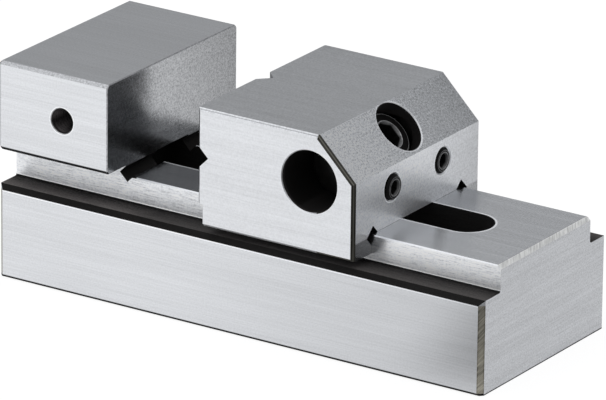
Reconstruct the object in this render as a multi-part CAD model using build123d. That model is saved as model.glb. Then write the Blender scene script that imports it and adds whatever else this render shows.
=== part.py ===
from build123d import *
import math
import os

# Precision grinding vise with a pull-down screw, in millimetres.
# The origin is under the middle of the base. +X runs from the fixed jaw to the open end,
# +Z is up, and -Y is the side that carries the near work-stop thread.

# Base block and bed
body_length = 175.0
body_width = 70.0
overall_height = 70.0
bed_height = 38.5
ledge_height = 30.0
rail_width = 50.5
rail_foot_radius = 0.8
rail_edge = 0.35
body_edge = 1.6
bottom_edge = 0.6
bed_end_edge = 1.2

# Fixed jaw
fixed_jaw_length = 40.5
jaw_wing_lift = 2.8
fixed_jaw_edge = 1.0
fixed_face_edge = 0.3
stop_thread_radius = 4.0
stop_thread_depth = 15.0
stop_thread_countersink = 0.25
stop_from_face = 16.7
stop_above_bed = 16.8

# Relief slits milled at 45 degrees into the ground corners
relief_width = 4.0
relief_depth = 0.9
skirt_relief_width = 4.8
skirt_relief_depth = 1.2

# Movable jaw
jaw_length = 56.0
opening_at_rest = 33.0
closed_gap = 0.2
skirt_height = 32.5
slide_fit = 0.05
slope_size = 13.0
jaw_side_edge = 1.1
jaw_top_edge = 0.8
face_setback = 2.0
face_foot_lift = 1.0
groove_width = 7.6
groove_depth = 3.8
cross_groove_above_bed = 15.9

# Pivot barrel, across the movable jaw
bore_radius = 9.75
bore_from_back = 16.0
bore_above_bed = 16.3
bore_countersink = 0.3
barrel_fit = 0.03
barrel_length = 38.0
barrel_edge = 0.8
barrel_groove_width = 6.4
barrel_groove_depth = 2.0

# Set screws that keep the barrel endwise
set_screw_radius = 4.0
set_screw_spacing = 28.0
set_screw_drop = 4.6
near_set_screw_proud = 1.0
far_set_screw_proud = 0.3
set_screw_thread_length = 6.0
set_screw_key = 4.0
set_screw_key_depth = 2.6
set_screw_point_radius = 2.75
set_screw_edge = 0.7
set_screw_countersink = 0.6
point_clearance = 0.3

# Clamp screw, a socket-head cap screw that leans back at 45 degrees
screw_angle = 45.0
screw_radius = 5.0
screw_length = 65.0
screw_lead = 1.5
head_radius = 8.0
head_height = 10.0
head_edge = 0.7
head_key = 8.0
head_key_depth = 5.0
head_top_above_pivot = 8.2
thread_fit = 0.05
screw_hole_radius = 8.5
screw_hole_countersink = 0.3
shank_hole_radius = 5.5

# Washer under the head
washer_thickness = 2.0
washer_radius = 8.0
seat_fit = 0.03

# Pull nut and its trunnions
nut_height = 12.0
nut_depth = 15.0
nut_width = 16.0
nut_edge = 1.5
trunnion_radius = 4.0
trunnion_edge = 0.6
trunnion_side_gap = 1.0
release_turns = 4.0
seat_gap = 0.3

# Stop ring at the tip of the screw
ring_thickness = 1.0
ring_outer_radius = 7.0
ring_groove_depth = 0.7
ring_gap_width = 3.0
ring_clearance = 0.3

# Release spring
spring_radius = 6.8
spring_wire = 1.2
spring_open_turns = 6
spring_wire_sides = 8
spring_bends_per_turn = 16
spring_end_gap = 0.3
spring_flat_drop = 0.6

# Notches, channel and slot under the bed
notch_pitch = 11.0
notch_depth = 5.2
notch_tip_height = 20.0
notch_play = 2.2
notches_towards_fixed_jaw = 3
notches_towards_open_end = 4
channel_width = 36.0
channel_corner_radius = 6.0
channel_end_margin = 8.0
channel_open_end_margin = 4.5
slot_width = 17.0
slot_above_bed = 3.1
slot_open_end_margin = 14.5
slot_fixed_end_margin = 4.0

# How far a cutter or a joined block runs past the face it meets
over = 1.0

# Places that follow from the sizes
left_end = -body_length / 2
right_end = body_length / 2
fixed_face_x = left_end + fixed_jaw_length
jaw_front_x = fixed_face_x + opening_at_rest
jaw_back_x = jaw_front_x + jaw_length
close_travel = opening_at_rest - closed_gap
open_travel = notches_towards_open_end * notch_pitch
wing_height = bed_height + jaw_wing_lift
jaw_seat_height = bed_height + slide_fit
pivot_x = jaw_back_x - bore_from_back
pivot_z = bed_height + bore_above_bed
lean = math.radians(screw_angle)
screw_frame = Plane(
    origin=(pivot_x, 0, pivot_z),
    x_dir=(0, 1, 0),
    z_dir=(math.cos(lean), 0, math.sin(lean)),
)
slant = math.sqrt(0.5)
slope_rise = jaw_back_x - pivot_x + overall_height - slope_size - pivot_z
slope_place = slope_rise / (math.cos(lean) + math.sin(lean))

# Places along the screw, measured from the pivot towards the head
head_under = head_top_above_pivot - head_height
washer_top = head_under - seat_fit
barrel_seat = washer_top - washer_thickness - seat_fit
barrel_radius = bore_radius - barrel_fit
spring_flat = -(barrel_radius - spring_flat_drop)

# The engaged trunnion rests against the flank of a notch that faces down the pull
notch_root_height = notch_tip_height + notch_depth
engaged_height = notch_root_height - (2 * trunnion_radius + notch_play) * slant
engaged_place = -(pivot_z - engaged_height) / math.sin(lean)
release_travel = release_turns * screw_lead
nut_place = engaged_place - seat_gap - release_travel
ring_top = nut_place - nut_height / 2 - ring_clearance
nut_rest_x = pivot_x + nut_place * math.cos(lean)
root_x = pivot_x + engaged_place * math.cos(lean) - notch_play * slant
nut_reach = (nut_depth + nut_height) / 2 * slant
channel_left = nut_rest_x - close_travel - nut_reach - channel_end_margin
slot_left = channel_left + slot_fixed_end_margin
slot_right = pivot_x - bore_above_bed / math.tan(lean) + open_travel + slot_open_end_margin
channel_right = slot_right + channel_open_end_margin
trunnion_end = channel_width / 2 - trunnion_side_gap


def side_edges(shape, half):
    """The edges that lie in either side plane, half a width from the middle."""
    return shape.edges().filter_by(lambda edge: abs(abs(edge.center().Y) - half) < 0.01)


def solid_box(x_range, y_range, z_range):
    """A box between two limits along each axis."""
    size = [high - low for low, high in (x_range, y_range, z_range)]
    centre = [(high + low) / 2 for low, high in (x_range, y_range, z_range)]
    return Pos(*centre) * Box(*size)


def along_screw(shape, place):
    """A shape drawn about the origin, moved to a place along the clamp screw."""
    return screw_frame.location * Pos(0, 0, place) * shape


def screw_rod(radius, start, end):
    """A round rod on the screw's axis between two places along it."""
    return along_screw(Cylinder(radius, end - start), (start + end) / 2)


def cross_rod(radius, length):
    """A round rod through the pivot, across the vise."""
    return Pos(pivot_x, 0, pivot_z) * Rot(90, 0, 0) * Cylinder(radius, length)


def relief_slit(length, width, depth, corner, direction):
    """A square-bottomed slit at 45 degrees into a corner, drawn along X, then turned into place."""
    cutter = Pos(0, 0, (width - depth) / 2) * Box(length, width, width + depth)
    return Pos(*corner) * direction * cutter


def bed_section():
    """Half of the base seen from the end, mirrored and with a small radius at the rail's foot."""
    half = body_width / 2
    rail = rail_width / 2
    outline = Polyline(
        (0, 0),
        (half - bottom_edge, 0),
        (half, bottom_edge),
        (half, ledge_height - body_edge),
        (half - body_edge, ledge_height),
        (rail, ledge_height),
        (rail, bed_height - rail_edge),
        (rail - rail_edge, bed_height),
        (0, bed_height),
        close=True,
    )
    right = make_face(outline)
    section = right + mirror(right, about=Plane.YZ)
    at_ledge = section.vertices().filter_by(lambda point: abs(point.Y - ledge_height) < 0.01)
    feet = at_ledge.filter_by(lambda point: abs(abs(point.X) - rail) < 0.01)
    return fillet(feet, radius=rail_foot_radius)


def base_block():
    """The long base with its rail, chamfered at the ends."""
    end_plane = Plane(origin=(left_end, 0, 0), x_dir=(0, 1, 0), z_dir=(1, 0, 0))
    block = extrude(end_plane * bed_section(), amount=body_length)
    block = chamfer(side_edges(block, body_width / 2).filter_by(Axis.Z), length=body_edge)
    bed_end = block.edges().filter_by(Axis.Y).group_by(Axis.Z)[-1].sort_by(Axis.X)[-1]
    return chamfer(bed_end, length=bed_end_edge)


def fixed_jaw():
    """The fixed jaw's block on a neck as wide as the rail, its working face with nearly sharp edges."""
    x_range = (left_end, fixed_face_x)
    head = solid_box(x_range, (-body_width / 2, body_width / 2), (wing_height, overall_height))
    behind_face = head.edges().filter_by(lambda edge: edge.center().X < fixed_face_x - 0.01)
    head = chamfer(behind_face, length=fixed_jaw_edge)
    head = chamfer(head.faces().sort_by(Axis.X)[-1].edges(), length=fixed_face_edge)
    neck_z = (bed_height - over, wing_height + fixed_jaw_edge + over)
    neck = solid_box(x_range, (-rail_width / 2, rail_width / 2), neck_z)
    return head + neck


def stop_threads():
    """Blind tapped holes for a work stop, one in each side of the fixed jaw."""
    holes = []
    for side in (-1, 1):
        mouth = Plane(
            origin=(fixed_face_x - stop_from_face, side * body_width / 2, bed_height + stop_above_bed),
            z_dir=(0, side, 0),
        )
        hole = Pos(0, 0, -stop_thread_depth / 2) * Cylinder(stop_thread_radius, stop_thread_depth)
        cone = Pos(0, 0, -stop_thread_countersink / 2) * Cone(
            stop_thread_radius, stop_thread_radius + stop_thread_countersink, stop_thread_countersink
        )
        holes.append(mouth.location * (hole + cone))
    return holes


def bed_slot():
    """The long slot that the screw passes through, open to the channel and run on under the fixed jaw."""
    length = slot_right - slot_left
    outline = Pos((slot_left + slot_right) / 2, 0, 0) * SlotOverall(length, slot_width)
    height = bed_height + slot_above_bed - notch_tip_height
    return Pos(0, 0, notch_tip_height) * extrude(outline, amount=height)


def under_channel():
    """The channel in the underside where the pull nut's trunnions travel."""
    length = channel_right - channel_left
    outline = RectangleRounded(length, channel_width, channel_corner_radius)
    return Pos((channel_left + channel_right) / 2, 0, 0) * extrude(outline, amount=notch_tip_height)


def notches():
    """The row of V notches across the channel's roof."""
    row = []
    for index in range(-notches_towards_fixed_jaw, notches_towards_open_end + 1):
        x = root_x + index * notch_pitch
        outline = Polyline(
            (x - notch_depth - over, notch_tip_height - over),
            (x, notch_root_height),
            (x + notch_depth + over, notch_tip_height - over),
            close=True,
        )
        wedge = extrude(Plane.XZ * make_face(outline), amount=channel_width / 2, both=True)
        row.append(wedge)
    return row


def vise_body():
    """Base, bed and fixed jaw in one piece of hardened steel."""
    corner = (fixed_face_x, 0, bed_height)
    across = Rot(0, 45, 0) * Rot(0, 0, 90)
    relief = relief_slit(rail_width + 2 * rail_edge, relief_width, relief_depth, corner, across)
    body = base_block() + fixed_jaw()
    body -= relief
    for hole in stop_threads():
        body -= hole
    body -= under_channel()
    body -= bed_slot()
    for notch in notches():
        body -= notch
    return body


def jaw_block():
    """The movable jaw's outline with its back slope, edges broken."""
    half = body_width / 2
    slope_start = jaw_back_x - slope_size
    outline = Polyline(
        (jaw_front_x, skirt_height),
        (jaw_front_x, overall_height),
        (slope_start, overall_height),
        (jaw_back_x, overall_height - slope_size),
        (jaw_back_x, skirt_height),
        close=True,
    )
    block = extrude(Plane.XZ * make_face(outline), amount=half, both=True)
    back_rims = side_edges(block, half).filter_by(lambda edge: edge.center().X > slope_start)
    block = chamfer(back_rims, length=jaw_side_edge)
    other_rims = side_edges(block, half).filter_by(lambda edge: edge.center().X < slope_start)
    return chamfer(other_rims, length=jaw_top_edge)


def jaw_grooves():
    """Crossed 90 degree V grooves in the jaw's face, one level and one upright."""
    groove_z = bed_height + cross_groove_above_bed
    half = groove_width / 2
    level = make_face(Polyline(
        (jaw_front_x - over, groove_z - half - over),
        (jaw_front_x + groove_depth, groove_z),
        (jaw_front_x - over, groove_z + half + over),
        close=True,
    ))
    upright = make_face(Polyline(
        (jaw_front_x - over, -half - over),
        (jaw_front_x + groove_depth, 0),
        (jaw_front_x - over, half + over),
        close=True,
    ))
    across = extrude(Plane.XZ * level, amount=body_width / 2 + over, both=True)
    down = extrude(upright, amount=overall_height + over)
    return [across, down]


def set_screw_places():
    """Where the two set screws stand: across, up, and how far proud of the jaw's back face."""
    across = set_screw_spacing / 2
    z = pivot_z - set_screw_drop
    return [(-across, z, near_set_screw_proud), (across, z, far_set_screw_proud)]


def along_x(shape, place):
    """A shape drawn up Z, laid along +X at a place."""
    return Pos(*place) * Rot(0, 90, 0) * shape


def movable_jaw():
    """The sliding jaw that straddles the rail."""
    jaw = jaw_block()
    half_channel = rail_width / 2 + slide_fit
    beyond = (jaw_front_x - over, jaw_back_x + over)
    jaw -= solid_box(beyond, (-half_channel, half_channel), (skirt_height - over, jaw_seat_height))
    for side in (-1, 1):
        corner = ((jaw_front_x + jaw_back_x) / 2, side * half_channel, jaw_seat_height)
        outwards = Rot(180 - side * 45, 0, 0)
        jaw -= relief_slit(jaw_length + 2 * over, skirt_relief_width, skirt_relief_depth, corner, outwards)
    jaw -= solid_box(
        (jaw_front_x - over, jaw_front_x + face_setback),
        (-body_width, body_width),
        (skirt_height - over, bed_height + face_foot_lift),
    )
    for groove in jaw_grooves():
        jaw -= groove
    jaw -= cross_rod(bore_radius, body_width + 2 * over)
    for side in (-1, 1):
        mouth = Plane(origin=(pivot_x, side * body_width / 2, pivot_z), z_dir=(0, side, 0))
        cone = Cone(bore_radius, bore_radius + bore_countersink, bore_countersink)
        jaw -= mouth.location * Pos(0, 0, -bore_countersink / 2) * cone
    jaw -= screw_rod(screw_hole_radius, -2 * bore_above_bed, slope_place + over)
    jaw -= along_screw(
        Cone(screw_hole_radius, screw_hole_radius + screw_hole_countersink, screw_hole_countersink),
        slope_place - screw_hole_countersink / 2,
    )
    hole_length = jaw_back_x - pivot_x
    hole = Cylinder(set_screw_radius + thread_fit, hole_length)
    cone = Cone(set_screw_radius, set_screw_radius + set_screw_countersink, set_screw_countersink)
    for y, z, _ in set_screw_places():
        jaw -= along_x(hole, (jaw_back_x - hole_length / 2, y, z))
        jaw -= along_x(cone, (jaw_back_x - set_screw_countersink / 2, y, z))
    return jaw


def pivot_barrel():
    """The cross cylinder with a saddle for the screw's head and a groove for each set screw."""
    barrel = cross_rod(barrel_radius, barrel_length)
    barrel = chamfer(barrel.edges(), length=barrel_edge)
    saddle_width = 2 * washer_radius + 2 * (screw_hole_radius - head_radius)
    saddle_height = barrel_radius - barrel_seat + over
    saddle_length = 2 * (barrel_radius + over)
    saddle = Box(saddle_width, saddle_length, saddle_height)
    barrel -= along_screw(saddle, barrel_seat + saddle_height / 2)
    flat = Box(saddle_width, saddle_length, barrel_radius)
    barrel -= along_screw(flat, spring_flat - barrel_radius / 2)
    barrel -= screw_rod(shank_hole_radius, -barrel_radius - over, barrel_radius + over)
    groove_core = cross_rod(barrel_radius - barrel_groove_depth, barrel_groove_width)
    ring = cross_rod(barrel_radius + over, barrel_groove_width) - groove_core
    for side in (-1, 1):
        barrel -= Pos(0, side * set_screw_spacing / 2, 0) * ring
    return barrel


def hex_socket(across_flats, depth):
    """A hexagon socket cut down from the origin."""
    return extrude(RegularPolygon(across_flats / 2, 6, major_radius=False), amount=-depth)


def clamp_screw():
    """The socket-head cap screw, with a groove for the stop ring near its tip."""
    head = Pos(0, 0, -head_height / 2) * Cylinder(head_radius, head_height)
    head = chamfer(head.edges().filter_by(GeomType.CIRCLE).sort_by(Axis.Z)[-1], length=head_edge)
    head -= hex_socket(head_key, head_key_depth)
    shank = Pos(0, 0, -head_height - screw_length / 2) * Cylinder(screw_radius, screw_length)
    shank = chamfer(shank.edges().filter_by(GeomType.CIRCLE).sort_by(Axis.Z)[0], length=head_edge)
    screw = along_screw(head + shank, head_top_above_pivot)
    groove_outside = screw_rod(screw_radius + over, ring_top - ring_thickness, ring_top)
    groove_core = screw_rod(screw_radius - ring_groove_depth, ring_top - ring_thickness, ring_top)
    return screw - (groove_outside - groove_core)


def nut_stop_ring():
    """The open retaining ring that sits in the screw's groove."""
    inner = screw_radius - ring_groove_depth
    ring = Cylinder(ring_outer_radius, ring_thickness) - Cylinder(inner, ring_thickness)
    gap_reach = ring_outer_radius + over
    ring -= Pos(gap_reach / 2, 0, 0) * Box(gap_reach, ring_gap_width, ring_thickness)
    return along_screw(ring, ring_top - ring_thickness / 2)


def thrust_washer():
    """The hard washer between the head and the barrel's saddle."""
    ring = Cylinder(washer_radius, washer_thickness) - Cylinder(shank_hole_radius, washer_thickness)
    return along_screw(ring, washer_top - washer_thickness / 2)


def pull_nut():
    """The threaded block in the slot and the two trunnions that hook into the notches."""
    block = Box(nut_width, nut_depth, nut_height)
    block = chamfer(block.edges().filter_by(Axis.X), length=nut_edge)
    trunnion = Rot(0, 90, 0) * Cylinder(trunnion_radius, 2 * trunnion_end)
    trunnion = chamfer(trunnion.edges().filter_by(GeomType.CIRCLE), length=trunnion_edge)
    nut = block + trunnion - Cylinder(screw_radius + thread_fit, nut_height + 2 * over)
    return along_screw(nut, nut_place)


def release_spring():
    """The coil spring round the screw, with one closed turn at each end, bent in short straight chords."""
    wire_in = spring_end_gap + spring_wire / 2
    top = spring_flat - wire_in
    bottom = nut_place + nut_height / 2 + wire_in
    closed_rise = spring_wire + spring_end_gap
    open_rise = (top - bottom - 2 * closed_rise) / spring_open_turns
    turns = spring_open_turns + 2
    points = []
    for bend in range(turns * spring_bends_per_turn + 1):
        turn = bend / spring_bends_per_turn
        open_part = min(max(turn - 1, 0), spring_open_turns)
        rise = closed_rise * (turn - open_part) + open_rise * open_part
        angle = 2 * math.pi * turn
        points.append((spring_radius * math.cos(angle), spring_radius * math.sin(angle), bottom + rise))
    path = Polyline(*points)
    section = Plane(origin=path @ 0, z_dir=path % 0) * RegularPolygon(spring_wire / 2, spring_wire_sides)
    return along_screw(sweep(section, path=path, transition=Transition.RIGHT), 0)


def barrel_set_screws():
    """Two set screws whose plain points stand in the barrel's grooves."""
    groove_floor = barrel_radius - barrel_groove_depth
    upper_edge = set_screw_drop - set_screw_point_radius
    point_end = pivot_x + math.sqrt(groove_floor**2 - upper_edge**2) + point_clearance
    length = jaw_back_x + min(near_set_screw_proud, far_set_screw_proud) - point_end
    thread = Pos(0, 0, -set_screw_thread_length / 2) * Cylinder(set_screw_radius, set_screw_thread_length)
    thread = chamfer(thread.edges().filter_by(GeomType.CIRCLE), length=set_screw_edge)
    point = Pos(0, 0, -length / 2) * Cylinder(set_screw_point_radius, length)
    screw = thread + point - hex_socket(set_screw_key, set_screw_key_depth)
    screws = [along_x(screw, (jaw_back_x + proud, y, z)) for y, z, proud in set_screw_places()]
    return Compound(children=screws)


os.makedirs("parts", exist_ok=True)
pieces = {
    "vise_body": vise_body(),
    "movable_jaw": movable_jaw(),
    "pivot_barrel": pivot_barrel(),
    "clamp_screw": clamp_screw(),
    "nut_stop_ring": nut_stop_ring(),
    "thrust_washer": thrust_washer(),
    "pull_nut": pull_nut(),
    "release_spring": release_spring(),
    "barrel_set_screws": barrel_set_screws(),
}
for name, piece in pieces.items():
    export_step(piece, f"parts/{name}.step")
print("pieces", len(pieces), "closing", close_travel, "opening", open_travel, "release", release_travel)
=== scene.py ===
import bpy
import math
import numpy as np
from mathutils import Matrix


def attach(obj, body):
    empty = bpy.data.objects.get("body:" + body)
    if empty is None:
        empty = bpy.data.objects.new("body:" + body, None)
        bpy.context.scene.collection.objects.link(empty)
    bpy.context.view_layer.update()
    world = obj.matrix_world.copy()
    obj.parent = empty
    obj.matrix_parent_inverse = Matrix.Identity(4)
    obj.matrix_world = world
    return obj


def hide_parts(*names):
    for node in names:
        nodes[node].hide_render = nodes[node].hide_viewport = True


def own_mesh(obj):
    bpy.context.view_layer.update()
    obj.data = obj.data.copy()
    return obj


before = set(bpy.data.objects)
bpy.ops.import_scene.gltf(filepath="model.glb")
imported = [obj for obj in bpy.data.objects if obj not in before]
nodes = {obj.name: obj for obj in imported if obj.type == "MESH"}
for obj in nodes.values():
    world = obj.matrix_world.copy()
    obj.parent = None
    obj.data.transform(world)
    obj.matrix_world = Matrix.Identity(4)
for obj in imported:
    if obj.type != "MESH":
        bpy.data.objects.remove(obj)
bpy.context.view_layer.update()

# Vise body. One block of tool steel, hardened black and then ground bright on every working face.
# The ledges, the wing's underside, the reliefs and the channel below are left black from hardening.


class Reading:
    """One number on a surface. Sums and products of readings become Math nodes in its material."""

    def __init__(self, tree, socket):
        self.tree = tree
        self.socket = socket

    def by(self, operation, *others):
        """The result of one Math node on this reading and the others."""
        node = self.tree.nodes.new("ShaderNodeMath")
        node.operation = operation
        for inlet, value in zip(node.inputs, (self, *others)):
            feed(self.tree, inlet, value)
        return Reading(self.tree, node.outputs[0])

    def __add__(self, other):
        return self.by("ADD", other)

    def __sub__(self, other):
        return self.by("SUBTRACT", other)

    def __mul__(self, other):
        return self.by("MULTIPLY", other)

    def __abs__(self):
        return self.by("ABSOLUTE")

    def above(self, edge, soft=0.02):
        """1 where the reading is more than an edge, 0 where it is less, with a straight ramp between."""
        node = self.tree.nodes.new("ShaderNodeMapRange")
        node.clamp = True
        feed(self.tree, node.inputs["Value"], self)
        node.inputs["From Min"].default_value = edge - soft
        node.inputs["From Max"].default_value = edge + soft
        return Reading(self.tree, node.outputs["Result"])

    def below(self, edge, soft=0.02):
        """1 where the reading is less than an edge, 0 where it is more."""
        return self.above(edge, soft) * -1 + 1

    def between(self, low, high, soft=0.02):
        """1 where the reading lies between two edges."""
        return self.above(low, soft) * self.below(high, soft)

    def at(self, place, reach=0.3, soft=0.02):
        """1 where the reading lies within a reach of one place."""
        return self.between(place - reach, place + reach, soft)

    def most(self, other):
        """The larger of two readings."""
        return self.by("MAXIMUM", other)


def weighed(start, *parts):
    """A plain number plus each reading times its weight."""
    total = start
    for reading, weight in parts:
        total = reading * weight + total
    return total


def distance(one, other):
    """How far a point is from the middle, from its two distances along directions at right angles."""
    return (one.by("POWER", 2.0) + other.by("POWER", 2.0)).by("SQRT")


def feed(tree, inlet, value):
    """Joins a reading or a colour's socket to a node's inlet, or writes a plain number or colour there."""
    if isinstance(value, Reading):
        tree.links.new(value.socket, inlet)
    elif isinstance(value, bpy.types.NodeSocket):
        tree.links.new(value, inlet)
    elif isinstance(value, tuple):
        inlet.default_value = (*value, 1.0)
    else:
        inlet.default_value = value


def new_finish(name):
    """An empty finish: its material, its node tree and its shader."""
    material = bpy.data.materials.new(name)
    material.use_nodes = True
    return material, material.node_tree, material.node_tree.nodes["Principled BSDF"]


def places(tree):
    """Where a point of the surface lies, in millimetres, and which way it faces: x, y, z, then along x, y, z."""
    at = tree.nodes.new("ShaderNodeTexCoord")
    readings = []
    for outlet, size in (("Object", 1000.0), ("Normal", 1.0)):
        parts = tree.nodes.new("ShaderNodeSeparateXYZ")
        tree.links.new(at.outputs[outlet], parts.inputs[0])
        readings += [Reading(tree, part) * size for part in parts.outputs]
    return readings


def grain(tree, length, turn=(0.0, 0.0, 0.0), detail=2.0):
    """Noise about zero, from -0.5 to 0.5, whose grains are as long along x, y and z as given, in millimetres. The
    grains can be turned about x, y and z, in degrees."""
    at = tree.nodes.new("ShaderNodeTexCoord")
    mapping = tree.nodes.new("ShaderNodeMapping")
    mapping.vector_type = "TEXTURE"
    mapping.inputs["Rotation"].default_value = [math.radians(angle) for angle in turn]
    mapping.inputs["Scale"].default_value = [size / 1000.0 for size in length]
    noise = tree.nodes.new("ShaderNodeTexNoise")
    noise.inputs["Scale"].default_value = 1.0
    noise.inputs["Detail"].default_value = detail
    tree.links.new(at.outputs["Object"], mapping.inputs["Vector"])
    tree.links.new(mapping.outputs["Vector"], noise.inputs["Vector"])
    return Reading(tree, noise.outputs["Fac"]) - 0.5


def over(tree, amount, under, upper):
    """A colour laid over another: all of the upper one where the amount is 1."""
    mix = tree.nodes.new("ShaderNodeMix")
    mix.data_type = "RGBA"
    mix.clamp_factor = True
    feed(tree, mix.inputs[0], amount)
    feed(tree, mix.inputs[6], under)
    feed(tree, mix.inputs[7], upper)
    return mix.outputs[2]


def shaded(tree, colour, amount):
    """A colour times a number."""
    scale = tree.nodes.new("ShaderNodeVectorMath")
    scale.operation = "SCALE"
    feed(tree, scale.inputs["Scale"], amount)
    if isinstance(colour, tuple):
        scale.inputs[0].default_value = colour
    else:
        tree.links.new(colour, scale.inputs[0])
    return scale.outputs["Vector"]


def roughen(tree, shader, height, depth):
    """Bump on the shader: the height reading times a depth in millimetres."""
    bump = tree.nodes.new("ShaderNodeBump")
    bump.inputs["Strength"].default_value = 1.0
    bump.inputs["Distance"].default_value = depth / 1000.0
    feed(tree, bump.inputs["Height"], height)
    tree.links.new(bump.outputs["Normal"], shader.inputs["Normal"])


def across_marks(tree, shader, face_z):
    """Spreads the gloss across the wheel marks: up the upright faces, and sideways on the flat ones."""
    spread = tree.nodes.new("ShaderNodeCombineXYZ")
    feed(tree, spread.inputs["Y"], face_z)
    feed(tree, spread.inputs["Z"], face_z * -1 + 1)
    tree.links.new(spread.outputs["Vector"], shader.inputs["Tangent"])
    shader.inputs["Anisotropic"].default_value = 0.9


def wheel_marks(tree, face_x):
    """Marks of the grinding wheel: long and fine along x, and along y on the faces square to x."""
    long_x = grain(tree, (36.0, 0.45, 0.45)) + grain(tree, (90.0, 2.6, 2.6), detail=1.0) * 0.5
    long_y = grain(tree, (0.45, 24.0, 0.45)) + grain(tree, (2.6, 60.0, 2.6), detail=1.0) * 0.5
    return long_x * (face_x * -1 + 1) + long_y * face_x


# Colours, then the places of the body's faces in millimetres. The wing is the part of the fixed jaw
# that stands out over each ledge.
STEEL = (0.73, 0.742, 0.765)
BLACKED = (0.0125, 0.0115, 0.0112)
OLIVE = (0.36, 0.34, 0.285)
FILED = (0.92, 0.92, 0.91)
END_X, JAW_FACE_X, JAW_FRONT_X = 87.5, -47.0, -14.0
SIDE_Y, RAIL_Y = 35.0, 25.25
LEDGE_Z, BED_Z, WING_Z, TOP_Z = 30.0, 38.5, 41.3, 70.0
SLOT_X, SLOT_HALF_LENGTH, SLOT_RADIUS = 3.29, 56.41, 8.5
CHANNEL_START_X, CHANNEL_END_X, CHANNEL_Y = -66.0, 73.1, 18.0
STOP_X, STOP_Z, STOP_RADIUS = -63.7, 55.3, 4.0


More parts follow.
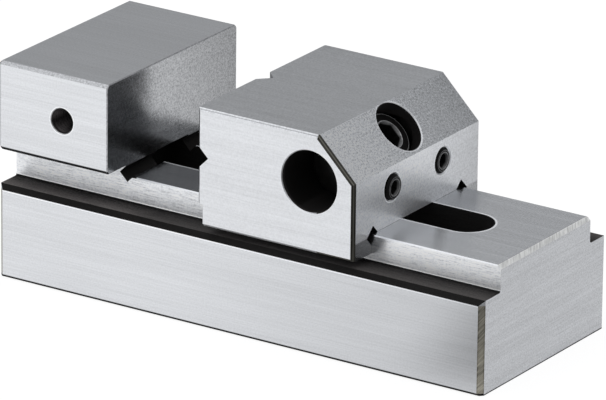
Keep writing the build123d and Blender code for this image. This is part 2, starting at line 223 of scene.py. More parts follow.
def body_steel():
    """The vise body's finish, laid on by where a face lies and which way it looks."""
    material, tree, shader = new_finish("body_ground_steel")
    x, y, z, along_x, along_y, along_z = places(tree)
    wide = abs(y)
    face_x = abs(along_x).above(0.9)
    face_y = abs(along_y).above(0.9)
    face_z = abs(along_z).above(0.9)
    bevel = face_x.most(face_y).most(face_z) * -1 + 1
    lines = wheel_marks(tree, face_x)
    cloud = grain(tree, (38.0, 12.0, 9.0))
    pits = grain(tree, (0.6, 0.5, 0.5), detail=3.0)
    streaks = grain(tree, (5.0, 0.32, 0.32), detail=3.0)

    # The ground faces and their broken edges, each 1 on its own place and 0 elsewhere.
    working = x.at(JAW_FACE_X) * face_x * z.above(WING_Z - 0.3)
    end = face_x * x.above(END_X - 0.5)
    rail_side = face_y * wide.at(RAIL_Y) * z.between(LEDGE_Z, WING_Z + 1.2)
    neck = rail_side * x.below(JAW_FACE_X + 1.0, 1.0)
    left_rail = rail_side * x.below(JAW_FRONT_X + 4.0, 3.0)
    rail_foot = rail_side * z.below(LEDGE_Z + 0.9, 0.1)
    bed_top = face_z * z.at(BED_Z, 0.5)
    between_jaws = bed_top * x.below(JAW_FRONT_X + 2.0, 3.0)
    jaw_top = face_z * z.above(TOP_Z - 0.5)
    bed_end = bevel * x.above(END_X - 1.3) * z.above(BED_Z - 1.3) * wide.below(RAIL_Y - 0.05)
    jaw_edges = bevel * x.below(JAW_FACE_X + 0.1) * z.above(WING_Z + 1.2)
    # A painted highlight on the near upright edge of the fixed jaw's face.
    painted_edge_highlight = bevel * x.between(JAW_FACE_X - 0.4, JAW_FACE_X + 0.1) * z.between(WING_Z, TOP_Z - 1.1)
    painted_edge_highlight = painted_edge_highlight * y.below(1.0 - SIDE_Y)
    rail_edge = bevel * z.at(BED_Z - 0.2) * wide.at(RAIL_Y - 0.25) * x.between(JAW_FACE_X + 1.0, END_X - 1.3)
    # A painted highlight along the side just under the ledge.
    side_highlight = face_y * wide.above(SIDE_Y - 0.1) * z.between(LEDGE_Z - 2.0, LEDGE_Z - 1.55, 0.06)

    # The thin rings round the slot and the work-stop holes, where a highlight is painted.
    from_slot = distance((abs(x - SLOT_X) - SLOT_HALF_LENGTH).most(0.0), y)
    slot_rim = bed_top * from_slot.below(SLOT_RADIUS + 0.65, 0.1)
    from_stop = distance(x - STOP_X, z - STOP_Z)
    stop_rim = face_y * from_stop.below(STOP_RADIUS + 0.55, 0.1) * wide.above(SIDE_Y - 0.5)

    # Everything that was left black, with a painted contact shadow along the bottom of the end faces,
    # and the two upright corners at each end.
    ledge = wide.above(RAIL_Y + 0.05) * z.between(LEDGE_Z - 1.65, LEDGE_Z + 0.9) * along_z.above(0.3)
    under_wing = wide.above(RAIL_Y + 0.05) * z.between(WING_Z - 0.7, WING_Z + 1.05) * along_z.below(-0.3)
    wing_line = face_y * wide.above(SIDE_Y - 0.1) * x.below(JAW_FACE_X + 0.1)
    under_wing = under_wing.most(wing_line * z.between(WING_Z + 0.7, WING_Z + 1.2, 0.1))
    relief = bevel * x.at(JAW_FACE_X, 4.0) * z.between(34.0, WING_Z + 0.9)
    slot = wide.below(SLOT_RADIUS + 0.1) * x.at(SLOT_X, SLOT_HALF_LENGTH + SLOT_RADIUS + 0.2)
    slot = slot * z.between(19.5, WING_Z + 0.4) * face_z.below(0.5)
    channel = wide.below(CHANNEL_Y + 0.2) * x.between(CHANNEL_START_X, CHANNEL_END_X) * z.between(0.05, 26.0)
    thread = from_stop.below(STOP_RADIUS + 0.01) * wide.above(SIDE_Y - 16.0) * abs(along_y).below(0.95)
    # The bottom strip of the end faces is a painted contact shadow; the chamfer round the bottom is black.
    foot_and_contact_shadow = (bevel * z.below(0.7)).most(face_x * z.below(0.35, 0.1)).most(face_y * z.below(0.85, 0.1))
    black_and_contact_shadow = ledge.most(under_wing).most(relief).most(slot).most(channel).most(thread).most(foot_and_contact_shadow)
    ledge_flat = ledge * along_z.above(0.9) * weighed(1.0, (x.below(-42.0, 8.0), 1.3))
    corner = bevel * abs(x).above(END_X - 1.7) * z.between(0.6, LEDGE_Z - 1.55)
    corner_border = abs(abs(x) - (END_X - 0.8)).above(0.58, 0.12)

    # How strong the fine speckle is on each face, then how bright each is beside the plain steel.
    speckle = weighed(
        0.3,
        (working, 1.4),
        (jaw_edges, 1.2),
        (end, 0.6),
        (rail_side, 0.4),
        (bed_top, 0.25),
        (jaw_top, 0.2),
    )
    tone = weighed(
        1.0,
        (jaw_top, -0.28),
        (jaw_edges, -0.34),
        (working, y * -0.0046 - 0.37),
        (painted_edge_highlight, 0.33),
        (end, -0.02),
        (face_y, 0.02),
        # The near faces are painted darker towards the open end: painted shade.
        (face_y * (x + 20.0).most(0.0), -0.0016),
        # Painted highlights on the rims of the slot and the work-stop holes and under the ledge.
        (stop_rim.most(slot_rim).most(side_highlight), 0.3),
        # The rail's side painted lighter, darker between the jaws, lighter under the wing: painted light and shade.
        (rail_side, 0.42),
        (left_rail, -0.24),
        (neck, 0.06),
        # Painted highlights on the rail's top edge and along its bottom.
        (rail_edge, 0.1),
        (rail_foot, 0.25),
        (bed_top, -0.04),
        # The bed between the jaws painted darker: painted shade.
        (between_jaws, -0.38),
    )
    marks = weighed(1.0, (lines, end * 0.15 + 0.25), (cloud, 0.06), (pits, speckle), (streaks, rail_side * 1.3))
    steel = shaded(tree, STEEL, marks * tone)
    files = grain(tree, (0.5, 0.5, 5.0), turn=(0.0, 60.0, 125.0))
    filed = shaded(tree, FILED, files * 0.9 + 1.0)
    scratches = grain(tree, (0.4, 0.4, 5.0), turn=(0.0, 45.0, 45.0))
    tarnish_and_shade = shaded(tree, OLIVE, weighed(1.0, (scratches, 2.2), (corner_border, -0.35)))
    # The ledge's black is painted lighter towards its outer edge and at the left, darkest against the rail,
    # and the wing's underside darker still: painted light and shade.
    towards_edge = wide.above(RAIL_Y + 4.05, 4.0)
    on_ledge = ledge_flat * weighed(-0.2, (towards_edge, 5.4), (pits, 6.0), (streaks, 5.0))
    uneven = weighed(0.8, (cloud, 0.8), (pits, 1.3), (streaks, 0.9), (on_ledge, 1.0), (under_wing, -0.5))
    colour = over(tree, bed_end, steel, filed)
    colour = over(tree, corner, colour, tarnish_and_shade)
    colour = over(tree, black_and_contact_shadow, colour, shaded(tree, BLACKED, uneven))
    feed(tree, shader.inputs["Base Color"], colour)

    # The slot's rim and the filed edge scatter light as plain metal doesn't, so they are part dull.
    dull = slot_rim + bed_end * (files * 1.6 + 0.9)
    feed(tree, shader.inputs["Metallic"], weighed(1.0, (dull, -0.6), (neck, -0.3), (black_and_contact_shadow, -1.0)))
    shader.inputs["Specular IOR Level"].default_value = 0.12
    rough = weighed(
        0.31,
        (lines, 0.08),
        (pits, 0.05),
        (working, -0.14),
        (end, 0.12),
        (bed_top, -0.07),
        (between_jaws, -0.08),
        (bed_end, 0.22),
        (rail_side, 0.03),
        (corner, 0.1),
        (black_and_contact_shadow, 0.28),
    )
    feed(tree, shader.inputs["Roughness"], rough)
    across_marks(tree, shader, face_z)
    height = lines * 0.30 + pits * (speckle * (working * -0.42 + 0.5)) + files * (bed_end * 2.0)
    roughen(tree, shader, height, 0.02)
    return material


def dress(node, material):
    """Gives a CAD node one finish all over."""
    nodes[node].data.materials.clear()
    nodes[node].data.materials.append(material)


dress("vise_body", body_steel())

# Work-stop threads. An M8 thread is tapped 15 mm deep into each side of the fixed jaw. The solids
# have a plain hole at the thread's outer radius, and these two sleeves carry the thread's ridges.

MM = 0.001


def grid_faces(rows, columns, rows_meet):
    """Four-sided faces between neighbouring rows and columns. The columns meet round; the rows may."""
    row = np.arange(rows if rows_meet else rows - 1)[:, None]
    column = np.arange(columns)[None, :]
    next_row = (row + 1) % rows
    next_column = (column + 1) % columns
    corners = (row * columns + column, row * columns + next_column,
               next_row * columns + next_column, next_row * columns + column)
    return np.stack(np.broadcast_arrays(*corners), axis=-1).reshape(-1, 4)


def closing_faces(ring, centre):
    """Triangles from one ring of points to the point in its middle."""
    return np.stack([ring, np.roll(ring, -1), np.full(len(ring), centre)], axis=-1)


def new_piece(name, points, quads, triangles, material, sharp=32.0, wear=None):
    """A mesh object from points in millimetres and faces, smooth apart from edges sharper than an angle. Wear, where
    it is given, is one number for each point, from 0 to 1."""
    mesh = bpy.data.meshes.new(name)
    mesh.from_pydata((points * MM).tolist(), [], quads.tolist() + triangles.tolist())
    if wear is not None:
        mesh.attributes.new("wear", "FLOAT", "POINT").data.foreach_set("value", wear.astype(np.float32))
    mesh.polygons.foreach_set("use_smooth", np.ones(len(mesh.polygons), bool))
    mesh.set_sharp_from_angle(angle=math.radians(sharp))
    mesh.materials.append(material)
    piece = bpy.data.objects.new(name, mesh)
    bpy.context.scene.collection.objects.link(piece)
    return piece


def ridges(turns):
    """Height of a 60 degree thread, 0 at its root and 1 at its crest, over a count of turns: a triangle
    wave with an eighth of its height cut off the crest and a fifth off the root."""
    wave = np.abs(2.0 * (turns - np.floor(turns)) - 1.0)
    return np.clip((wave - 0.2) / 0.68, 0.0, 1.0)


def dark_bore():
    """Steel left dark and oily inside a hole."""
    material, tree, shader = new_finish("dark_bore_steel")
    patches = grain(tree, (1.4, 1.4, 1.4), detail=3.0)
    feed(tree, shader.inputs["Base Color"], shaded(tree, (0.042, 0.038, 0.039), patches * 1.6 + 1.0))
    shader.inputs["Metallic"].default_value = 1.0
    feed(tree, shader.inputs["Roughness"], patches * 0.2 + 0.36)
    roughen(tree, shader, patches, 0.01)
    return material


bore_steel = dark_bore()
STOP_PITCH = 1.25
STOP_OUTSIDE, STOP_ROOT, STOP_CREST = 3.98, 3.94, 3.35
STOP_MOUTH, STOP_END = 34.7, 20.1


def stop_thread(side):
    """A sleeve in a work-stop hole. Its inside is a helix of ridges: the radius falls towards the axis with the
    thread's height, which depends on the depth in pitches less the angle in turns. Its outside is plain."""
    rows, columns = 176, 48
    depth = np.linspace(0.0, 1.0, rows)[:, None]
    turn = np.linspace(0.0, 1.0, columns, endpoint=False)[None, :]
    place = STOP_MOUTH - depth * (STOP_MOUTH - STOP_END)
    fade = np.clip(depth * 22.0, 0.0, 1.0) * np.clip((1.0 - depth) * 22.0, 0.0, 1.0)
    height = ridges(place / STOP_PITCH - side * turn)
    radius = STOP_ROOT - (STOP_ROOT - STOP_CREST) * height * fade
    place = place + 0.0 * turn
    outer = np.full((2, columns), STOP_OUTSIDE)
    outer_place = np.array([[STOP_END], [STOP_MOUTH]]) + 0.0 * turn
    radius = np.concatenate([radius, outer])
    place = np.concatenate([place, outer_place])
    angle = 2.0 * np.pi * turn * side
    points = np.stack([STOP_X + radius * np.cos(angle), side * place, STOP_Z + radius * np.sin(angle)], axis=-1)
    name = "stop_thread_near" if side < 0 else "stop_thread_far"
    quads = grid_faces(rows + 2, columns, True)
    return new_piece(name, points.reshape(-1, 3), quads, np.empty((0, 3), int), bore_steel)


for side in (-1, 1):
    thread_sleeve = stop_thread(side)
    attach(thread_sleeve, "base")

# Movable jaw. Hardened and ground like the body, with crossed V grooves in its face. The slope and
# the back are ground across a coarser wheel, and their side chamfers are painted dark as shade.

# The pivot is the middle of the cross bore, where the leaning screw crosses it. On the back slope x
# and z always have the same sum.
PIVOT_X, PIVOT_Z = 26.0, 54.8
SLANT = math.sqrt(0.5)
SLOPE_SUM = 99.0
JAW_BACK_X, JAW_FOOT_Z = 42.0, 32.5
BORE_RADIUS, SCREW_HOLE_RADIUS = 9.75, 8.5
SET_Y, SET_Z, SET_RADIUS = 14.0, 50.2, 4.0
JAW_RIM_SHADE = (0.060, 0.058, 0.051)
JAW_BLACKED = (0.022, 0.020, 0.020)


def jaw_steel():
    """The movable jaw's finish, laid on by where a face lies and which way it looks."""
    material, tree, shader = new_finish("jaw_ground_steel")
    x, y, z, along_x, along_y, along_z = places(tree)
    wide = abs(y)
    face_x = abs(along_x).above(0.9)
    face_y = abs(along_y).above(0.9)
    face_z = abs(along_z).above(0.9)
    slope = along_x.above(0.6) * along_z.above(0.6) * (x + z).above(SLOPE_SUM - 0.5)
    bevel = (face_x.most(face_y).most(face_z) * -1 + 1) * (slope * -1 + 1)
    lines = wheel_marks(tree, face_x)
    cloud = grain(tree, (26.0, 14.0, 9.0))
    pits = grain(tree, (0.55, 0.55, 0.55), detail=3.0)

    # The ground faces and their broken edges, each 1 on its own place and 0 elsewhere.
    back = along_x.above(0.9) * x.above(JAW_BACK_X - 0.2)
    upper_back = back * z.above(BED_Z - 0.5, 0.3)
    skirt_back = back * z.below(BED_Z - 0.5, 0.3)
    working = along_x.below(-0.6) * x.below(JAW_FRONT_X + 4.2)
    jaw_top = face_z * z.above(TOP_Z - 0.5)
    top_edge = bevel * z.above(TOP_Z - 0.85) * wide.above(SIDE_Y - 0.85)
    edge_line = top_edge * z.at(TOP_Z - 0.45, 0.13, 0.05)

    # The holes, dark inside, and the thin rings round their mouths, where a highlight is painted.
    from_bore = distance(x - PIVOT_X, z - PIVOT_Z)
    cross_bore = from_bore.below(BORE_RADIUS + 0.02) * abs(along_y).below(0.6)
    bore_mouth = cross_bore * wide.between(SIDE_Y - 1.4, SIDE_Y - 0.5, 0.2)
    bore_rim = face_y * from_bore.between(BORE_RADIUS - 0.05, BORE_RADIUS + 0.4, 0.06)
    from_screw = distance((x - PIVOT_X - z + PIVOT_Z) * SLANT, y)
    screw_hole = from_screw.below(SCREW_HOLE_RADIUS + 0.02) * (along_x + along_z).below(1.35) * z.above(BED_Z + 0.1)
    screw_rim = from_screw.between(SCREW_HOLE_RADIUS - 0.1, SCREW_HOLE_RADIUS + 0.5, 0.06)
    screw_rim = screw_rim * (x + z).above(SLOPE_SUM - 0.8) * (along_x + along_z).above(0.5)
    screw_edge = screw_rim * (along_x + along_z).below(1.38)
    from_set = distance(wide - SET_Y, z - SET_Z)
    set_hole = from_set.below(SET_RADIUS + 0.1) * x.above(JAW_BACK_X - 10.0) * abs(along_x).below(0.9)
    set_rim = from_set.between(SET_RADIUS + 0.1, SET_RADIUS + 0.9, 0.06) * x.above(JAW_BACK_X - 0.8)
    relief = bevel * wide.at(RAIL_Y - 0.25, 4.0) * z.at(BED_Z - 0.25, 4.25)
    inside = cross_bore.most(screw_hole).most(set_hole).most(relief)

    # The side chamfers of the slope and the back, painted dark as shade with a lighter painted line
    # along the middle, and the painted highlight that borders the side.
    rim = bevel * wide.above(SIDE_Y - 1.15) * x.above(JAW_BACK_X - 13.3)
    rim_middle = abs(wide - (SIDE_Y - 0.58)).below(0.10, 0.08)
    at_border = x.below(JAW_FRONT_X + 0.4, 0.05).most(z.below(JAW_FOOT_Z + 0.5, 0.05))
    border = face_y * wide.above(SIDE_Y - 0.1) * at_border
    # Painted highlights on the rims of the holes and along the border of the side.
    bright = screw_rim.most(set_rim).most(bore_rim).most(border)

    # How strong the fine speckle is on each face, then how bright each is beside the plain steel.
    speckle = weighed(0.3, (slope, 1.6), (back, 0.5), (working, 1.0), (top_edge, 0.6), (jaw_top, 0.35))
    tone = weighed(
        1.0,
        (jaw_top, -0.30),
        (slope, y * -0.0072 + 0.05),
        # Ground duller, and painted darker still as shade between the jaws.
        (working, -0.50),
        (bright, 0.30),
        (edge_line, -0.4),
        (face_y, 0.03),
        (face_y * (x + 20.0).most(0.0), 0.0004),
        (screw_edge, -0.35),
        # The back painted lighter, falling off to the far side, its skirt darker: painted light and shade.
        (back, y.most(0.0) * -0.0108 + 0.28),
        (skirt_back, -0.46),
    )
    marks = weighed(1.0, (lines, 0.25), (cloud, 0.06), (pits, speckle))
    steel = shaded(tree, STEEL, marks * tone)
    scratches = grain(tree, (5.0, 0.4, 5.0))
    tarnish_and_shade = shaded(tree, JAW_RIM_SHADE, weighed(1.0, (scratches, 1.6), (rim_middle, 2.4)))
    # The black just inside the cross bore's mouth is painted lighter: painted light.
    coat = shaded(tree, JAW_BLACKED, weighed(1.0, (cloud, 0.8), (pits, 0.8), (bore_mouth, 1.5)))
    colour = over(tree, rim, steel, tarnish_and_shade)
    colour = over(tree, inside, colour, coat)
    feed(tree, shader.inputs["Base Color"], colour)
    dull = screw_rim.most(set_rim)
    feed(tree, shader.inputs["Metallic"], weighed(1.0, (inside, -0.6), (dull, -0.5), (upper_back, -0.3)))
    shader.inputs["Specular IOR Level"].default_value = 0.2
    rough = weighed(
        0.31,
        (lines, 0.08),
        (pits, 0.05),
        (upper_back, 0.05),
        (skirt_back, -0.07),
        (slope, 0.06),
        (inside, 0.12),
        (rim, 0.08),
    )
    feed(tree, shader.inputs["Roughness"], rough)
    across_marks(tree, shader, face_z.most(back))
    roughen(tree, shader, lines * 0.30 + pits * (speckle * (back * -0.25 + 0.5)), 0.02)
    return material


dress("movable_jaw", jaw_steel())

# Pivot barrel and thrust washer. Both are turned from round bar and hardened, so their faces carry
# fine rings from the lathe. The barrel slides into the cross bore from the side.


def turned_steel(name, axis, colour):
    """Dark hardened steel with lathe rings about an axis through the pivot, given as a direction."""
    material, tree, shader = new_finish(name)
    x, y, z, *_ = places(tree)
    across = (x - PIVOT_X, y, z - PIVOT_Z)
    along = across[0] * axis[0] + across[1] * axis[1] + across[2] * axis[2]
    from_pivot = across[0].by("POWER", 2.0) + across[1].by("POWER", 2.0) + across[2].by("POWER", 2.0)
    radius = (from_pivot - along.by("POWER", 2.0)).most(0.0).by("SQRT")
    rings = ((along + radius) * 19.0).by("SINE")
    patches = grain(tree, (3.0, 3.0, 3.0), detail=4.0)
    feed(tree, shader.inputs["Base Color"], shaded(tree, colour, rings * 0.08 + patches * 0.5 + 1.0))
    shader.inputs["Metallic"].default_value = 1.0
    feed(tree, shader.inputs["Roughness"], patches * 0.25 + 0.36)
    roughen(tree, shader, rings * 0.5 + patches, 0.01)
    return material


dress("pivot_barrel", turned_steel("barrel_turned_steel", (0.0, 1.0, 0.0), (0.05, 0.048, 0.047)))
dress("thrust_washer", turned_steel("washer_turned_steel", (SLANT, 0.0, SLANT), (0.30, 0.30, 0.30)))

# Clamp screw. A black M10 socket-head cap screw: forged head with an 8 mm hexagon socket and a
# diamond knurl on its side, and a rolled thread down to the groove of the stop ring.


def black_oxide():
    """Blackened screw steel with a film of oil, rubbed bright on the edges that the key touches."""
    material, tree, shader = new_finish("black_oxide")
    patches = grain(tree, (1.6, 1.6, 1.6), detail=4.0)
    fine = grain(tree, (0.25, 0.25, 0.25))
    rubbed = tree.nodes.new("ShaderNodeAttribute")
    rubbed.attribute_name = "wear"
    worn = Reading(tree, rubbed.outputs["Fac"]) * (patches * 1.5 + fine + 0.9)
    coat = shaded(tree, (0.007, 0.0066, 0.0067), patches * 0.9 + fine * 0.7 + 1.0)
    feed(tree, shader.inputs["Base Color"], over(tree, worn, coat, (0.66, 0.66, 0.67)))
    feed(tree, shader.inputs["Metallic"], worn)
    shader.inputs["Specular IOR Level"].default_value = 0.06
    feed(tree, shader.inputs["Roughness"], patches * 0.2 + fine * 0.1 + worn * -0.12 + 0.45)
    roughen(tree, shader, fine + patches * 2.0, 0.01)
    return material


screw_black = black_oxide()
CORNER_REACH = 1.135


def hexagon(turn, half_flats):
    """Distance from the middle to the side of a hexagon, at an angle given in turns: half the width across
    flats over the cosine of the angle to the nearest flat's middle, with the corners cut at a small round."""
    off_flat = (turn * 6.0 + 0.5) % 1.0 - 0.5
    return np.minimum(half_flats / np.cos(off_flat * np.pi / 3.0), half_flats * CORNER_REACH)


def screw_points(local):
    """Points given across the screw and along it from the pivot, put where the screw leans in the vise."""
    across, up, along = local[..., 0], local[..., 1], local[..., 2]
    x = PIVOT_X + (along - up) * SLANT
    z = PIVOT_Z + (along + up) * SLANT
    return np.stack([x, across, z], axis=-1)


def round_grid(radii, places_along, turn):
    """Rings of points about the local axis, one for each radius row and place."""
    angle = 2.0 * np.pi * turn
    place = np.broadcast_to(places_along, radii.shape)
    return np.stack([radii * np.cos(angle), radii * np.sin(angle), place], axis=-1)


def close_ends(points, start, end):
    """The points of a round grid with a middle point at each end, its faces, and the triangles that close them."""
    rows, columns, _ = points.shape
    flat = np.concatenate([points.reshape(-1, 3), [start, end]])
    quads = grid_faces(rows, columns, False)
    first = np.arange(columns)
    last = first + (rows - 1) * columns
    caps = np.concatenate([closing_faces(first, rows * columns)[:, ::-1], closing_faces(last, rows * columns + 1)])
    return flat, quads, caps


def socket_rows(turn, top, half_flats, depth, mouth, face_radius):
    """Rows from the floor of a hexagon socket up to its mouth and out to the rim of the head's flat face: their
    radii, their places along the axis and their wear."""
    corner = half_flats * CORNER_REACH
    plain = np.ones_like(turn)
    rows = [
        (plain * half_flats * 0.45, top - depth - half_flats * 0.18, 0.0),
        (plain * half_flats * 0.93, top - depth - 0.02, 0.0),
        (hexagon(turn, half_flats), top - depth + 0.05, 0.0),
        (hexagon(turn, half_flats), top - 0.9, 0.0),
        (np.maximum(hexagon(turn, half_flats), corner * 0.985), top - 0.5, 0.35),
        (plain * (mouth - 0.1), top - 0.1, 0.35),
        (plain * mouth, top, 1.0),
        (plain * (mouth + 0.15), top, 1.0),
        (plain * (mouth + 0.22), top, 0.0),
        (plain * (face_radius - 0.25), top, 0.0),
        (plain * face_radius, top, 0.7),
    ]
    radii, along, wear = zip(*rows)
    return np.concatenate(radii), np.array(along)[:, None], np.array(wear)


# Lengths along the screw are counted from the pivot, up towards the head.
HEAD_TOP, HEAD_UNDER, SCREW_TIP = 8.2, -1.8, -66.8
HEAD_RADIUS, KNURL_DEPTH, KNURLS_ROUND, KNURL_RISE = 7.98, 0.22, 72.0, 0.7
HEAD_HEXAGON, HEAD_SOCKET, HEAD_MOUTH, HEAD_FACE = 4.0, 5.0, 4.75, 7.25
SCREW_PITCH, SCREW_OUTSIDE, SCREW_ROOT = 1.5, 4.96, 4.10
GROOVE_TOP, GROOVE_BOTTOM, GROOVE_RADIUS = -64.66, -65.66, 4.25


def knurled_side(side, turn):
    """Radius on the head's side: two families of helical cuts that cross, deepest on their middle lines, and that
    run out before both edges."""
    left = np.abs(((turn * KNURLS_ROUND + side / KNURL_RISE) % 1.0) - 0.5)
    right = np.abs(((turn * KNURLS_ROUND - side / KNURL_RISE) % 1.0) - 0.5)
    above_foot = np.clip((side - (HEAD_UNDER + 0.9)) * 2.0, 0.0, 1.0)
    below_top = np.clip((HEAD_TOP - 1.2 - side) * 2.0, 0.0, 1.0)
    cut = np.maximum(1.0 - 5.0 * np.minimum(left, right), 0.0)
    return HEAD_RADIUS - KNURL_DEPTH * above_foot * below_top * cut


def screw_thread(down, turn):
    """Radius on the screw's thread: the root plus the thread's height, where the height depends on the length in
    pitches less the angle in turns. The root rises to the plain shank under the head, the crest falls towards the
    tip, and the groove cuts both."""
    tall = SCREW_OUTSIDE - SCREW_ROOT
    height = ridges(down / SCREW_PITCH - turn)
    run_in = np.clip((HEAD_UNDER - 4.0 - down) / 1.5, 0.0, 1.0)
    run_out = np.clip((down - SCREW_TIP - 0.2) / 1.6, 0.0, 1.0)
    thread = SCREW_OUTSIDE - tall * run_in * (1.0 - height)
    thread = np.minimum(thread, SCREW_ROOT + tall * (0.3 + 0.7 * run_out))
    in_groove = (down < GROOVE_TOP) & (down > GROOVE_BOTTOM)
    return np.where(in_groove, np.minimum(thread, GROOVE_RADIUS), thread)


def clamp_screw():
    """The cap screw as one turned surface: socket, face, chamfer, knurled side, underside, thread, point."""
    columns, knurl_rows, thread_rows = 144, 34, 560
    turn = np.linspace(0.0, 1.0, columns, endpoint=False)[None, :]
    radii, along, wear = socket_rows(turn, HEAD_TOP, HEAD_HEXAGON, HEAD_SOCKET, HEAD_MOUTH, HEAD_FACE)
    side = np.linspace(HEAD_TOP - 0.75, HEAD_UNDER + 0.5, knurl_rows)[:, None]
    collar = np.concatenate([turn * 0.0 + radius for radius in (7.75, 7.2, 5.35, 5.0)])
    collar_along = np.array([[HEAD_UNDER + 0.12], [HEAD_UNDER], [HEAD_UNDER], [HEAD_UNDER - 0.4]])
    down = np.linspace(HEAD_UNDER - 0.5, SCREW_TIP + 0.75, thread_rows)[:, None]
    point = np.concatenate([turn * 0.0 + radius for radius in (4.0, 2.0)])
    point_along = np.array([[SCREW_TIP + 0.1], [SCREW_TIP]])
    radii = np.concatenate([radii, knurled_side(side, turn), collar, screw_thread(down, turn), point])
    along = np.concatenate([along, side, collar_along, down, point_along])
    local = round_grid(radii, along, turn)
    socket_floor = (0.0, 0.0, HEAD_TOP - HEAD_SOCKET - 1.1)
    points, quads, caps = close_ends(local, socket_floor, (0.0, 0.0, SCREW_TIP))
    wear = np.concatenate([wear, np.zeros(len(radii) - len(wear))])
    wear = np.append(np.repeat(wear, columns), (0.0, 0.0))
    piece = new_piece("cap_screw", screw_points(points), quads[:, ::-1], caps[:, ::-1], screw_black, 40.0, wear)
    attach(piece, "screw")
    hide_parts("clamp_screw")


clamp_screw()

# Stop ring. A snap ring bent from flat spring steel, sprung into the groove at the screw's tip. It
# keeps the pull nut from running off the thread.


def spring_steel():
    """Oil-tempered spring wire: dark, smooth, drawn along its length."""
    material, tree, shader = new_finish("spring_steel")
    patches = grain(tree, (2.2, 2.2, 2.2), detail=3.0)
    feed(tree, shader.inputs["Base Color"], shaded(tree, (0.27, 0.265, 0.26), patches * 0.6 + 1.0))
    shader.inputs["Metallic"].default_value = 1.0
    feed(tree, shader.inputs["Roughness"], patches * 0.2 + 0.30)
    roughen(tree, shader, patches, 0.01)
    return material


wire_steel = spring_steel()
dress("nut_stop_ring", wire_steel)

# Pull nut. A milled steel block on the screw's thread, hardened and left dark. Its two round
# trunnions hook into the notches under the bed.


def milled_steel():
    """Hardened steel with the arcs of a milling cutter and a little oil."""
    material, tree, shader = new_finish("milled_dark_steel")
    arcs = grain(tree, (0.35, 7.0, 0.35), turn=(0.0, 0.0, 20.0), detail=2.0)
    patches = grain(tree, (4.0, 4.0, 4.0), detail=4.0)
    feed(tree, shader.inputs["Base Color"], shaded(tree, (0.30, 0.295, 0.29), arcs * 0.3 + patches * 0.5 + 1.0))
    shader.inputs["Metallic"].default_value = 1.0
    feed(tree, shader.inputs["Roughness"], patches * 0.2 + arcs * 0.1 + 0.36)
    roughen(tree, shader, arcs + patches, 0.015)
    return material


dress("pull_nut", milled_steel())

# Release spring. Round wire coiled about the screw, one closed turn at each end, that pushes the
# pull nut out of its notch when the screw is backed off.

SPRING_TOP, SPRING_BOTTOM = -10.02, -51.46
SPRING_RADIUS, WIRE_RADIUS = 6.8, 0.6
OPEN_TURNS = 6
CLOSED_RISE = 1.5


def release_spring():
    """The coil: a circle of wire carried along a helix. The rise is small over the first and last turn, and even
    between them. The wire's section stands square to the helix, on the direction away from the axis and on the
    cross product of that with the way the wire runs."""
    turns = OPEN_TURNS + 2
    rows, columns = turns * 48 + 1, 14
    turn = np.linspace(0.0, turns, rows)
    open_rise = (SPRING_TOP - SPRING_BOTTOM - 2.0 * CLOSED_RISE) / OPEN_TURNS
    open_part = np.clip(turn - 1.0, 0.0, OPEN_TURNS)
    along = SPRING_BOTTOM + CLOSED_RISE * (turn - open_part) + open_rise * open_part
    angle = 2.0 * np.pi * turn
    zero = np.zeros_like(turn)
    outward = np.stack([np.cos(angle), np.sin(angle), zero], axis=-1)
    centre = SPRING_RADIUS * outward + np.stack([zero, zero, along], axis=-1)
    run = np.gradient(centre, axis=0)
    run /= np.linalg.norm(run, axis=-1, keepdims=True)
    aside = np.cross(run, outward)
    round_wire = 2.0 * np.pi * np.arange(columns) / columns
    local = (centre[:, None]
             + WIRE_RADIUS * np.cos(round_wire)[None, :, None] * outward[:, None]
             + WIRE_RADIUS * np.sin(round_wire)[None, :, None] * aside[:, None])
    points, quads, caps = close_ends(local, centre[0], centre[-1])
    piece = new_piece("release_coil", screw_points(points), quads[:, ::-1], caps[:, ::-1], wire_steel, 50.0)
    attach(piece, "barrel")
    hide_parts("release_spring")
    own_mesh(piece)


release_spring()

# Barrel set screws. Two black M8 set screws with a 4 mm hexagon socket, screwed into the back of the
# jaw until their plain points stand in the barrel's grooves. The near one stands a little prouder.


# Lengths along a set screw are counted from its outer face, which is at 0.
SET_HEXAGON, SET_SOCKET, SET_MOUTH, SET_FACE = 2.0, 2.6, 2.55, 3.3
SET_THREAD_END, SET_TIP = -6.0, -8.5
SET_ROOT, SET_CREST, SET_POINT = 3.35, 3.97, 2.75


def set_screw(y, proud):
    """One set screw as a turned surface: socket, face, chamfer, thread, plain point. It stands proud of the jaw's
    back by a length."""
    columns, thread_rows = 96, 90
    turn = np.linspace(0.0, 1.0, columns, endpoint=False)[None, :]
    radii, along, wear = socket_rows(turn, 0.0, SET_HEXAGON, SET_SOCKET, SET_MOUTH, SET_FACE)
    down = np.linspace(-0.05, SET_THREAD_END, thread_rows)[:, None]
    height = ridges(down / STOP_PITCH - turn)
    crest = np.minimum(SET_ROOT - down * 1.1, SET_CREST)
    crest = np.minimum(crest, SET_FACE + (down - SET_THREAD_END) * 1.1)
    thread = np.minimum(SET_ROOT + (SET_CREST - SET_ROOT) * height, crest)
    point = np.concatenate([turn * 0.0 + radius for radius in (SET_POINT, SET_POINT, SET_POINT - 0.3)])
    point_along = np.array([[SET_THREAD_END - 0.02], [SET_TIP + 0.3], [SET_TIP]])
    radii = np.concatenate([radii, thread, point])
    along = np.concatenate([along, down, point_along])
    local = round_grid(radii, along, turn)
    points, quads, caps = close_ends(local, (0.0, 0.0, -3.0), (0.0, 0.0, SET_TIP))
    wear = np.concatenate([wear, np.zeros(len(radii) - len(wear))]) * 0.45
    wear = np.append(np.repeat(wear, columns), (0.0, 0.0))
    x = JAW_BACK_X + proud + points[:, 2]
    return np.stack([x, y + points[:, 0], SET_Z + points[:, 1]], axis=-1), quads, caps, wear


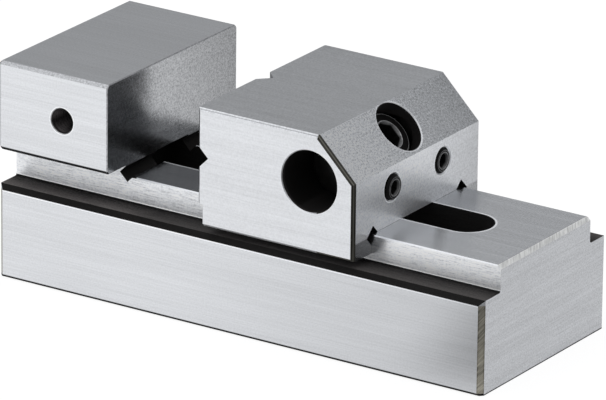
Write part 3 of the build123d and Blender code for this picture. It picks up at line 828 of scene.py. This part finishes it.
near_points, near_quads, near_caps, wear = set_screw(-SET_Y, 1.0)
far_points, far_quads, far_caps, wear = set_screw(SET_Y, 0.3)
count = len(near_points)
set_screws = new_piece(
    "set_screws",
    np.concatenate([near_points, far_points]),
    np.concatenate([near_quads, far_quads + count])[:, ::-1],
    np.concatenate([near_caps, far_caps + count])[:, ::-1],
    screw_black,
    40.0,
    np.tile(wear, 2),
)
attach(set_screws, "jaw")
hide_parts("barrel_set_screws")

# Floor. A sheet of white paper. It shows white behind the vise and in the steel, and takes a soft
# shadow. The steel sees a little more of that shadow than the camera does.


def paper():
    """White paper. Camera, glossy and transmission rays see it lit evenly, a part of it by its own glow. The room is
    dark behind left and before right, and the paper's sheen in the steel falls off there."""
    material, tree, shader = new_finish("white_paper")
    tree.nodes.remove(shader)
    path = tree.nodes.new("ShaderNodeLightPath")
    plain = tree.nodes.new("ShaderNodeBsdfDiffuse")
    plain.inputs["Color"].default_value = (0.8, 0.8, 0.8, 1.0)
    reflected = Reading(tree, path.outputs["Is Glossy Ray"]).most(Reading(tree, path.outputs["Is Transmission Ray"]))
    x, y, *_ = places(tree)
    behind_left = x.below(-15.0, 25.0) * y.above(50.0, 20.0)
    before_right = x.above(55.0, 10.0) * y.below(-50.0, 10.0)
    sheen = behind_left.most(before_right) * -0.85 + y.above(160.0, 80.0) * -0.15 + 1.0
    last = plain.outputs[0]
    by_camera = Reading(tree, path.outputs["Is Camera Ray"])
    for seen, shade, strength in ((reflected, sheen * 0.42, sheen * 0.56), (by_camera, 0.22, 0.85)):
        shadowed = tree.nodes.new("ShaderNodeBsdfDiffuse")
        feed(tree, shadowed.inputs["Color"], shaded(tree, (1.0, 1.0, 1.0), shade))
        glow = tree.nodes.new("ShaderNodeEmission")
        feed(tree, glow.inputs["Strength"], strength)
        both = tree.nodes.new("ShaderNodeAddShader")
        tree.links.new(shadowed.outputs[0], both.inputs[0])
        tree.links.new(glow.outputs[0], both.inputs[1])
        mix = tree.nodes.new("ShaderNodeMixShader")
        feed(tree, mix.inputs[0], seen)
        tree.links.new(last, mix.inputs[1])
        tree.links.new(both.outputs[0], mix.inputs[2])
        last = mix.outputs[0]
    tree.links.new(last, tree.nodes["Material Output"].inputs["Surface"])
    return material


def floor():
    """A flat sheet just under the vise, 40 m across so that it reaches past every view."""
    reach, under = 20.0, -0.00002
    corners = [(-reach, -reach, under), (reach, -reach, under), (reach, reach, under), (-reach, reach, under)]
    mesh = bpy.data.meshes.new("floor")
    mesh.from_pydata(corners, [], [(0, 1, 2, 3)])
    mesh.materials.append(paper())
    sheet = bpy.data.objects.new("floor", mesh)
    bpy.context.scene.collection.objects.link(sheet)


floor()

# Light. A grey room, brighter above and in front, one very large soft lamp overhead, and a low white
# panel off the near left that gives the upright faces their sheen.


def room():
    """The world's light: a grey that grows with the direction's height, towards the front and to the right, but
    falls off in the two right-hand corners, most of all in the front one."""
    world = bpy.data.worlds.new("studio")
    bpy.context.scene.world = world
    world.use_nodes = True
    tree = world.node_tree
    at = tree.nodes.new("ShaderNodeTexCoord")
    parts = tree.nodes.new("ShaderNodeSeparateXYZ")
    tree.links.new(at.outputs["Generated"], parts.inputs[0])
    right, back, up = (Reading(tree, part) for part in parts.outputs)
    before_right = right.most(0.0) * (back * -1).most(0.0)
    behind_right = right.most(0.0) * back.most(0.0)
    level = right * 0.15 + back * -0.113 + up * 0.186 + before_right * -1.15 + behind_right * -0.5 + 0.49
    background = tree.nodes["Background"]
    feed(tree, background.inputs["Color"], shaded(tree, (0.985, 1.0, 1.02), level))
    background.inputs["Strength"].default_value = 1.0


def lamp(name, place, towards, width, height, power):
    """A soft rectangular lamp at a place, turned to a point, in metres and watts. It doesn't show itself."""
    light = bpy.data.lights.new(name, "AREA")
    light.shape = "RECTANGLE"
    light.size, light.size_y = width, height
    light.energy = power
    back = np.array(place) - np.array(towards)
    back /= np.linalg.norm(back)
    right = np.cross((0.0, 1.0, 0.0) if abs(back[2]) > 0.95 else (0.0, 0.0, 1.0), back)
    right /= np.linalg.norm(right)
    up = np.cross(back, right)
    holder = bpy.data.objects.new(name, light)
    holder.matrix_world = Matrix([[right[i], up[i], back[i], place[i]] for i in range(3)] + [[0.0, 0.0, 0.0, 1.0]])
    holder.visible_camera = False
    bpy.context.scene.collection.objects.link(holder)


room()
lamp("overhead", (0.0, -0.3, 2.9), (0.0, 0.0, 0.0), 5.0, 5.0, 44.0)
lamp("panel", (-0.56, -0.64, 0.24), (0.0, 0.0, 0.04), 0.42, 0.44, 0.55)

# Camera. A long lens far back, as for a catalogue picture: 20 degrees above the vise, off its near
# right corner.


def camera():
    """The camera, its directions given as rows across, down and into the picture."""
    lens = bpy.data.cameras.new("camera")
    lens.sensor_width = 36.0
    lens.lens = 460.84
    lens.clip_start = 0.05
    lens.clip_end = 60.0
    holder = bpy.data.objects.new("camera", lens)
    right = (0.83413, 0.55146, 0.01063)
    down = (0.20041, -0.28506, -0.93733)
    forward = (-0.51387, 0.78398, -0.34829)
    place = (1.20875, -1.84261, 0.85163)
    rows = [[right[i], -down[i], -forward[i], place[i]] for i in range(3)]
    holder.matrix_world = Matrix(rows + [[0.0, 0.0, 0.0, 1.0]])
    bpy.context.scene.collection.objects.link(holder)
    bpy.context.scene.camera = holder


camera()
bpy.context.scene.view_settings.view_transform = "Standard"
